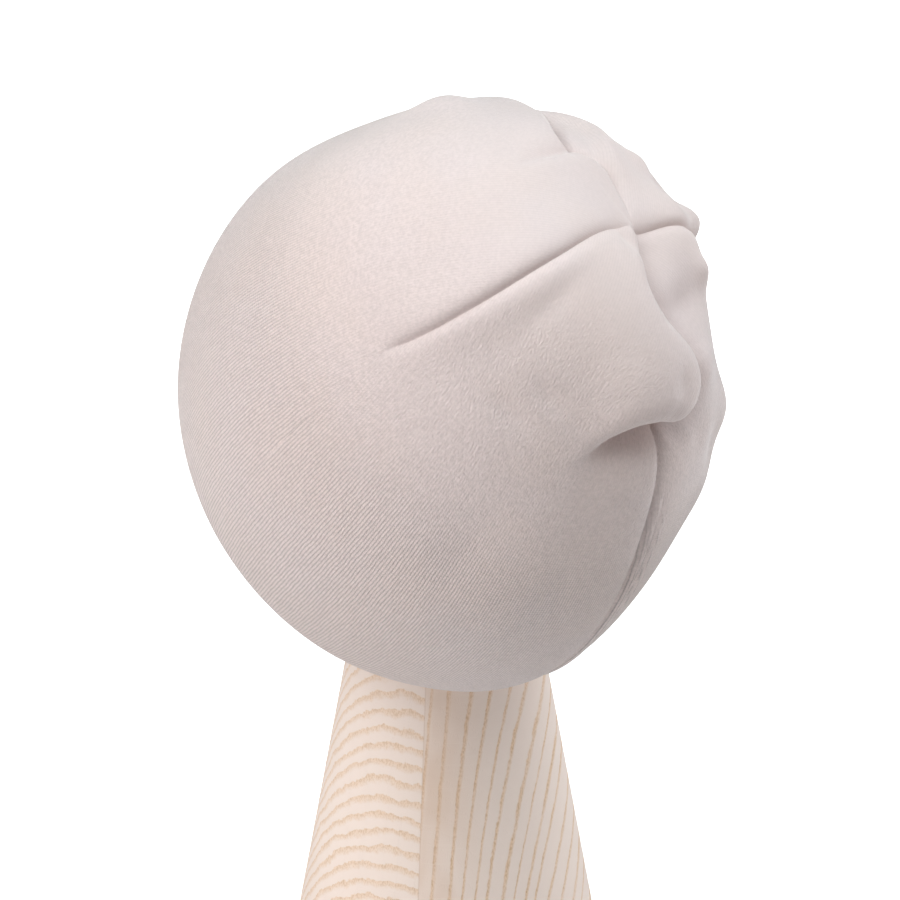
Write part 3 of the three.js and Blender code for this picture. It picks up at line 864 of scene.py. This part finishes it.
def cloudy(tree, vector, scale, detail=2.0, roughness=0.5, kind="Fac"):
    """Noise texture at a scale, on the given coordinates."""
    made = node(tree, "TexNoise")
    join(tree, made.inputs["Vector"], vector)
    for name, v in (("Scale", scale), ("Detail", detail), ("Roughness", roughness)):
        made.inputs[name].default_value = v
    return made.outputs[kind]


def stretched(tree, vector, scale):
    """A vector with each part multiplied by its own factor."""
    made = node(tree, "VectorMath", operation="MULTIPLY")
    join(tree, made.inputs[0], vector)
    made.inputs[1].default_value = scale
    return made.outputs[0]


def new_material(name):
    """An empty material with its Principled shader joined to the output."""
    material = bpy.data.materials.new(name)
    material.use_nodes = True
    tree = material.node_tree
    tree.nodes.clear()
    shader, end = node(tree, "BsdfPrincipled"), node(tree, "OutputMaterial")
    tree.links.new(shader.outputs[0], end.inputs[0])
    return material, tree, shader


# %% [markdown]
# Jersey is rows of V-shaped loops. The two legs of each V make one rib, and between ribs there is a
# narrow groove. The group works that out from the flat map: how far across the rib a point is, and how
# far along the loop, with the loop's arms sloping. It gives a height for the bump and a mask for the
# groove. A little noise on the map keeps the ribs from being ruled lines.

# %% The stitches, as a group
RIB_WIDTH, LOOP_HEIGHT = 1.12, 0.84        # mm on the flat map
PER_MM = 100.0                             # the map is in decimetres


def stitches_group():
    """Height = (1 - |2 frac(u) - 1| cubed) x (0.7 + 0.3 cos 2 pi (v + slope |2 frac(u) - 1|))."""
    group = bpy.data.node_groups.new("jersey stitches", "ShaderNodeTree")
    group.interface.new_socket("Knit Place", in_out="INPUT", socket_type="NodeSocketVector")
    for name in ("Rib Width", "Loop Height", "Wander"):
        group.interface.new_socket(name, in_out="INPUT", socket_type="NodeSocketFloat")
    for name in ("Height", "Groove"):
        group.interface.new_socket(name, in_out="OUTPUT", socket_type="NodeSocketFloat")
    given, result = group.nodes.new("NodeGroupInput"), group.nodes.new("NodeGroupOutput")
    millimetres = stretched(group, given.outputs["Knit Place"], (PER_MM, PER_MM, PER_MM))
    drift = sums(group, "SUBTRACT", cloudy(group, millimetres, 0.16, 3.0), 0.5)
    parts = node(group, "SeparateXYZ")
    join(group, parts.inputs[0], millimetres)
    across = sums(group, "MULTIPLY_ADD", drift, given.outputs["Wander"], parts.outputs["X"])
    rib = sums(group, "FRACT", sums(group, "DIVIDE", across, given.outputs["Rib Width"]))
    arm = sums(group, "ABSOLUTE", sums(group, "MULTIPLY_ADD", rib, 2.0, -1.0))
    step = sums(group, "DIVIDE", parts.outputs["Y"], given.outputs["Loop Height"])
    turn = sums(group, "MULTIPLY", sums(group, "MULTIPLY_ADD", arm, 0.55, step), 2 * math.pi)
    loop = sums(group, "COSINE", turn)
    groove = sums(group, "POWER", arm, 3.0)
    body = sums(group, "MULTIPLY_ADD", loop, 0.3, 0.7)
    height = sums(group, "MULTIPLY", sums(group, "SUBTRACT", 1.0, groove), body)
    join(group, result.inputs["Height"], height)
    join(group, result.inputs["Groove"], groove)
    return group


stitches = stitches_group()

# %% [markdown]
# The yarn is a pale warm grey-pink with a little fleck in it. Jersey is matt, and its raised fibres
# catch light at the edges of a form, which sheen gives. The grooves between ribs and the back seam's
# line are painted darker, as painted shade, and the rolled rim a little lighter, as painted light.
# The lining is the same cloth, seen in shade.

# %% The jersey
YARN = (0.668, 0.574, 0.560)
# painted shade darkens the grooves between ribs, and the taut ribs' colour is lifted to keep its mean
GROOVE_PAINTED_SHADE, RIB_LIFT = 0.58, 1.09
CROWN_KNIT, TAUT_KNIT, CROWN_RIBS = 0.78, 1.14, 0.12     # map rows where the ribs fade, and how far
# painted shade: a thin darker line along the back seam's groove
SEAM_LINE, SEAM_PAINTED_SHADE = 0.009, 0.6         # decimetres either side of the seam, and its shade
# painted light: the rolled rim's band is also made a little lighter
RIM_BAND, RIM_PAINTED_LIGHT = (1.865, 1.88), 1.05   # map rows of the folded edge, where the ribs are pressed flat


def jersey(name, relief):
    """Jersey from the stitches group: colour with painted shade in the grooves and seam, painted light on
    the rim, flecks and soft patches; bump of the loops.
    """
    material, tree, shader = new_material(name)
    place = node(tree, "UVMap", uv_map="knit").outputs["UV"]
    knit_group = node(tree, "Group", node_tree=stitches)
    join(tree, knit_group.inputs["Knit Place"], place)
    for key, value in (("Rib Width", RIB_WIDTH), ("Loop Height", LOOP_HEIGHT), ("Wander", 0.8)):
        join(tree, knit_group.inputs[key], value)
    spot = node(tree, "TexCoord").outputs["Object"]
    parts = node(tree, "SeparateXYZ")
    join(tree, parts.inputs[0], place)
    worn = spread(tree, parts.outputs["Y"], 0.25, 0.9, 0.035, 0.13)
    fleck = spread(tree, cloudy(tree, spot, 900.0, 2.0, 0.6), 0.35, 0.65, -0.5, 0.5, smooth=False)
    fleck = sums(tree, "MULTIPLY_ADD", fleck, worn, 1.0)
    taut = spread(tree, parts.outputs["Y"], CROWN_KNIT, TAUT_KNIT, CROWN_RIBS, 1.0)
    slack = spread(tree, taut, 0.0, 1.0, 1.0, 0.85, smooth=False)
    patch = spread(tree, cloudy(tree, spot, 26.0, 3.0, 0.55), 0.35, 0.65)
    warm = tuple(c * f for c, f in zip(YARN, (1.006, 1.0, 0.99)))
    cool = tuple(c * f for c, f in zip(YARN, (0.995, 1.0, 1.008)))
    yarn = blend_colour(tree, patch, warm, cool)
    taut = sums(tree, "MULTIPLY", taut, spread(tree, parts.outputs["Y"], *RIM_BAND, 1.0, 0.35))
    # painted shade: the grooves between the taut ribs are darkened
    groove = sums(tree, "MULTIPLY", knit_group.outputs["Groove"], taut)
    lift = spread(tree, taut, 0.0, 1.0, 1.0, RIB_LIFT, smooth=False)
    shade = sums(tree, "MULTIPLY", spread(tree, groove, 0.0, 1.0, 1.0, GROOVE_PAINTED_SHADE, smooth=False), lift)
    tone = sums(tree, "MULTIPLY", shade, fleck)
    # painted shade along the back seam's groove, lower than the darts
    seam = spread(tree, sums(tree, "ABSOLUTE", parts.outputs["X"]), 0.0, SEAM_LINE, SEAM_PAINTED_SHADE, 1.0)
    tone = sums(tree, "MULTIPLY", tone, spread(tree, parts.outputs["Y"], 0.5, 0.6, 1.0, seam))
    # painted light: the rolled rim's band is lifted a little lighter
    tone = sums(tree, "MULTIPLY", tone, spread(tree, parts.outputs["Y"], *RIM_BAND, 1.0, RIM_PAINTED_LIGHT))
    toned = node(tree, "VectorMath", operation="SCALE")
    join(tree, toned.inputs[0], yarn)
    join(tree, toned.inputs["Scale"], tone)
    join(tree, shader.inputs["Base Color"], toned.outputs[0])
    fuzz = cloudy(tree, spot, 1500.0, 2.0, 0.6)
    slub = cloudy(tree, stretched(tree, place, (110.0, 90.0, 1.0)), 1.0, 3.0, 0.6)
    loops = sums(tree, "MULTIPLY", knit_group.outputs["Height"], taut)
    pebbly = sums(tree, "MULTIPLY", spread(tree, parts.outputs["Y"], 0.2, 0.6, 0.6, 2.5), slack)
    pebbly = sums(tree, "MULTIPLY", spread(tree, parts.outputs["X"], 1.2, 1.7, 1.0, 0.4), pebbly)
    loops = sums(tree, "MULTIPLY_ADD", slub, pebbly, loops)
    height = sums(tree, "MULTIPLY_ADD", fuzz, 0.25, loops)
    bump = node(tree, "Bump")
    bump.inputs["Strength"].default_value = 1.0
    bump.inputs["Distance"].default_value = relief / 1000
    join(tree, bump.inputs["Height"], height)
    join(tree, shader.inputs["Normal"], bump.outputs[0])
    shader.inputs["Roughness"].default_value = 0.95
    shader.inputs["Specular IOR Level"].default_value = 0.15
    shader.inputs["Sheen Weight"].default_value = 0.5
    shader.inputs["Sheen Roughness"].default_value = 0.45
    shader.inputs["Sheen Tint"].default_value = (1.0, 0.985, 0.975, 1.0)
    return material


jersey_outer = jersey("jersey", 0.2)
beanie.data.materials.append(jersey_outer)
lining.data.materials.append(jersey_outer)

# %% [markdown]
# Ash is pale cream with peach-brown lines, one for each year, where the spring wood is a band of open
# pores. The stand is two boards. In the left one the yearly layers slope out to the surface, so they
# show as stacked arches; in the right one they stand on edge, and show as long leaning lines. Each
# board gets its own field of yearly layers, worked out from the place in the wood, and both share a
# group that turns a layer number into cream wood, tan line and pores.

# %% Yearly layers, as a group
BROWN = (0.66, 0.47, 0.34)
CREAM, PEACH, PORE = (0.880, 0.760, 0.690), (0.84, 0.62, 0.44), (0.60, 0.40, 0.23)


def ash_group():
    """frac(layer) gives a sharp-edged band of pores that fades into late wood; streaks break it up."""
    group = bpy.data.node_groups.new("ash layers", "ShaderNodeTree")
    for name in ("Layer", "Band", "Strength", "Pores", "Tint"):
        group.interface.new_socket(name, in_out="INPUT", socket_type="NodeSocketFloat")
    for name, kind in (("Color", "NodeSocketColor"), ("Height", "NodeSocketFloat")):
        group.interface.new_socket(name, in_out="OUTPUT", socket_type=kind)
    given, result = group.nodes.new("NodeGroupInput"), group.nodes.new("NodeGroupOutput")
    age = sums(group, "FRACT", given.outputs["Layer"])
    fading = spread(group, age, 0.1, given.outputs["Band"], 1.0, 0.0)
    band = sums(group, "MULTIPLY", spread(group, age, 0.0, 0.09), fading)
    early = sums(group, "MULTIPLY", band, given.outputs["Strength"])
    pores = spread(group, given.outputs["Pores"], 0.45, 0.6)
    speck = sums(group, "MULTIPLY", early, pores)
    wood = blend_colour(group, early, CREAM, PEACH)
    wood = blend_colour(group, sums(group, "MULTIPLY", speck, 0.75), wood, PORE)
    wood = blend_colour(group, given.outputs["Tint"], wood, BROWN)
    join(group, result.inputs["Color"], wood)
    join(group, result.inputs["Height"], sums(group, "MULTIPLY", speck, -1.0))
    return group


ash_layers = ash_group()

# %% The two boards of ash
JOINT_TURN = math.radians(38.0)            # the glue joint is an upright plane through the axis
FLAT_RING, EDGE_RING = 2.25, 5.4           # mm between yearly layers in each board
LEFT_TURN = math.radians(28.0)             # the way the left board's layers bulge
PITH_BEHIND, PITH_LEAN = 55.0, 0.2


def ash(name):
    """Distance from a sloping pith line for the left board, a leaning plane for the right one."""
    material, tree, shader = new_material(name)
    spot = stretched(tree, node(tree, "TexCoord").outputs["Object"], (1000.0, 1000.0, 1000.0))
    wavy = sums(tree, "SUBTRACT", cloudy(tree, spot, 0.11, 3.0, 0.55), 0.5)
    fine = sums(tree, "SUBTRACT", cloudy(tree, spot, 0.55, 2.0, 0.5), 0.5)

    def measure(direction_vector, offset):
        """Distance of the point along a direction, less an offset."""
        dot = node(tree, "VectorMath", operation="DOT_PRODUCT")
        join(tree, dot.inputs[0], spot)
        dot.inputs[1].default_value = direction_vector
        return sums(tree, "SUBTRACT", dot.outputs["Value"], offset)

    bulge = (math.cos(LEFT_TURN), math.sin(LEFT_TURN), 0.0)
    height_up = measure((0.0, 0.0, 1.0), 88.0)
    sideways = measure((-bulge[1], bulge[0], 0.0), 0.0)
    depth = sums(tree, "MULTIPLY_ADD", height_up, -PITH_LEAN, measure(bulge, -PITH_BEHIND))
    squares = sums(tree, "ADD", sums(tree, "POWER", sideways, 2.0), sums(tree, "POWER", depth, 2.0))
    flat = sums(tree, "SQRT", squares)
    flat = sums(tree, "MULTIPLY_ADD", wavy, 2.0, sums(tree, "MULTIPLY_ADD", fine, 0.7, flat))
    from_joint = measure((math.sin(JOINT_TURN), -math.cos(JOINT_TURN), 0.0), 0.0)
    left_board = spread(tree, from_joint, -0.12, 0.12, smooth=False)
    across = measure((-math.cos(JOINT_TURN), math.sin(JOINT_TURN), 0.0), 0.0)
    leaning = spread(tree, across, 0.0, 30.0, 0.08, 0.27, smooth=False)
    lean = sums(tree, "SUBTRACT", across, sums(tree, "MULTIPLY", height_up, leaning))
    line = node(tree, "VectorMath", operation="SCALE")
    line.inputs[0].default_value = (1.0, 0.0, 0.0)
    join(tree, line.inputs["Scale"], lean)
    years = cloudy(tree, line.outputs[0], 0.09, 2.0, 0.5)
    edge = sums(tree, "MULTIPLY_ADD", years, 7.0, lean)
    edge = sums(tree, "MULTIPLY_ADD", wavy, 1.2, sums(tree, "MULTIPLY_ADD", fine, 0.5, edge))
    pores = cloudy(tree, stretched(tree, spot, (1.0, 1.0, 0.35)), 2.8, 2.0, 0.6)
    stain = cloudy(tree, stretched(tree, spot, (1.0, 1.0, 0.25)), 0.09, 2.0, 0.5)

    def board(layer, band, strength, tint):
        """One board's colour and height, from the ash layers group."""
        made = node(tree, "Group", node_tree=ash_layers)
        given = (("Layer", layer), ("Band", band), ("Strength", strength), ("Pores", pores), ("Tint", tint))
        for key, value in given:
            join(tree, made.inputs[key], value)
        return made

    near_joint = spread(tree, sums(tree, "ABSOLUTE", from_joint), 0.0, 24.0, 0.42, 0.0)
    near_joint = sums(tree, "MULTIPLY", near_joint, spread(tree, stain, 0.4, 0.62, 0.5, 1.2))
    left = board(sums(tree, "DIVIDE", flat, FLAT_RING), 0.6, 0.62, 0.0)
    patchy = spread(tree, wavy, -0.15, 0.15, 0.6, 1.0)
    right = board(sums(tree, "DIVIDE", edge, EDGE_RING), 0.34, patchy, near_joint)
    colour = blend_colour(tree, left_board, right.outputs["Color"], left.outputs["Color"])
    glue = spread(tree, sums(tree, "ABSOLUTE", from_joint), 0.05, 0.3, 0.25, 0.0)
    colour = blend_colour(tree, glue, colour, (0.5, 0.33, 0.22))
    turned = cloudy(tree, stretched(tree, spot, (0.12, 0.12, 2.4)), 1.0, 2.0, 0.6)
    colour = blend_colour(tree, spread(tree, turned, 0.55, 0.75, 0.0, 0.14), colour, (0.93, 0.85, 0.77))
    join(tree, shader.inputs["Base Color"], colour)
    relief = sums(tree, "ADD", left.outputs["Height"], right.outputs["Height"])
    relief = sums(tree, "MULTIPLY_ADD", turned, 0.35, relief)
    bump = node(tree, "Bump")
    bump.inputs["Strength"].default_value = 0.6
    bump.inputs["Distance"].default_value = 0.00008
    join(tree, bump.inputs["Height"], relief)
    join(tree, shader.inputs["Normal"], bump.outputs[0])
    shader.inputs["Roughness"].default_value = 0.62
    shader.inputs["Specular IOR Level"].default_value = 0.35
    return material


stand.data.materials.append(ash("ash"))

# %% [markdown]
# Each piece rides on the root body of the frame, and the frame's own meshes of the beanie and
# the stand are hidden, so that only the pieces made here are seen.

# %% Rides, and the frame's meshes hidden
for piece in (beanie, lining):
    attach(piece, "root")
    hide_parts("beanie")
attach(stand, "root")
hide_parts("stand")

# %% [markdown]
# The studio is a white table that runs out of view and nine large soft lamps round the hat. The two
# strongest are high, one toward its front left and one on its right, so both sides of each fold are lit,
# and low ones beside them keep the shadows pale. The sky itself gives no light. The watts and tints in
# the table weren't chosen by hand: a separate program worked them out, and they were rounded.

# %% Table and lamps
floor_points = np.array([[-4000, -4000, -0.3], [4000, -4000, -0.3], [4000, 4000, -0.3], [-4000, 4000, -0.3]])
floor = new_mesh("table", floor_points.astype(float), np.arange(4), np.array([4]))
table_white, tree, shader = new_material("white table")
shader.inputs["Base Color"].default_value = (0.9, 0.9, 0.9, 1.0)
shader.inputs["Roughness"].default_value = 0.8
shader.inputs["Specular IOR Level"].default_value = 0.1
shader.inputs["Emission Color"].default_value = (1.0, 1.0, 1.0, 1.0)
seen = node(tree, "LightPath").outputs["Is Camera Ray"]
join(tree, shader.inputs["Emission Strength"], sums(tree, "MULTIPLY", seen, 0.6))
floor.data.materials.append(table_white)

LAMPS = (      # name, turn from +X, rise, distance m, size m, watts, colour
    ("lamp_front_left_high", 350, 62, 1.6, 1.1, 14.6, (0.95, 1.0, 1.0)),
    ("lamp_right_high", 140, 62, 1.6, 1.1, 10.8, (0.95, 0.99, 1.0)),
    ("lamp_front_left_low", 350, 8, 1.6, 1.1, 10.6, (1.0, 0.87, 0.83)),
    ("lamp_back_right_high", 170, 62, 1.6, 1.1, 7.1, (0.77, 0.93, 1.0)),
    ("lamp_back_right_low", 170, 8, 1.6, 1.1, 5.6, (0.95, 0.97, 1.0)),
    ("lamp_over_left", 20, 62, 1.6, 1.1, 4.7, (1.0, 0.98, 0.92)),
    ("lamp_right_low", 140, 8, 1.6, 1.1, 3.9, (1.0, 0.67, 0.54)),
    ("lamp_left", 320, 35, 1.6, 1.1, 3.2, (0.91, 0.98, 1.0)),
    ("lamp_back_right", 170, 35, 1.6, 1.1, 1.2, (0.43, 0.79, 1.0)),
)
SKY = 0.0


def lamp(name, turn, rise, distance, size, watts, colour):
    """A square soft lamp on a sphere round the hat, facing it."""
    data = bpy.data.lights.new(name, "AREA")
    data.shape, data.size, data.energy, data.color = "SQUARE", size, watts, colour
    placed = bpy.data.objects.new(name, data)
    bpy.context.scene.collection.objects.link(placed)
    side, top, out = camera_axes(turn, rise)
    matrix = np.eye(4)
    matrix[:3, :3] = np.stack([side, top, out], axis=1)
    matrix[:3, 3] = np.array([0.005, 0.01, 0.2]) + out * distance
    placed.matrix_world = Matrix(matrix.tolist())
    return placed


lamps = [lamp(*row) for row in LAMPS]
world = bpy.data.worlds.new("studio")
world.use_nodes = True
world.node_tree.nodes["Background"].inputs["Color"].default_value = (1.0, 1.0, 1.0, 1.0)
world.node_tree.nodes["Background"].inputs["Strength"].default_value = SKY
bpy.context.scene.world = world
bpy.context.scene.view_settings.view_transform = "Standard"
print("lamps:", [l.name for l in lamps])
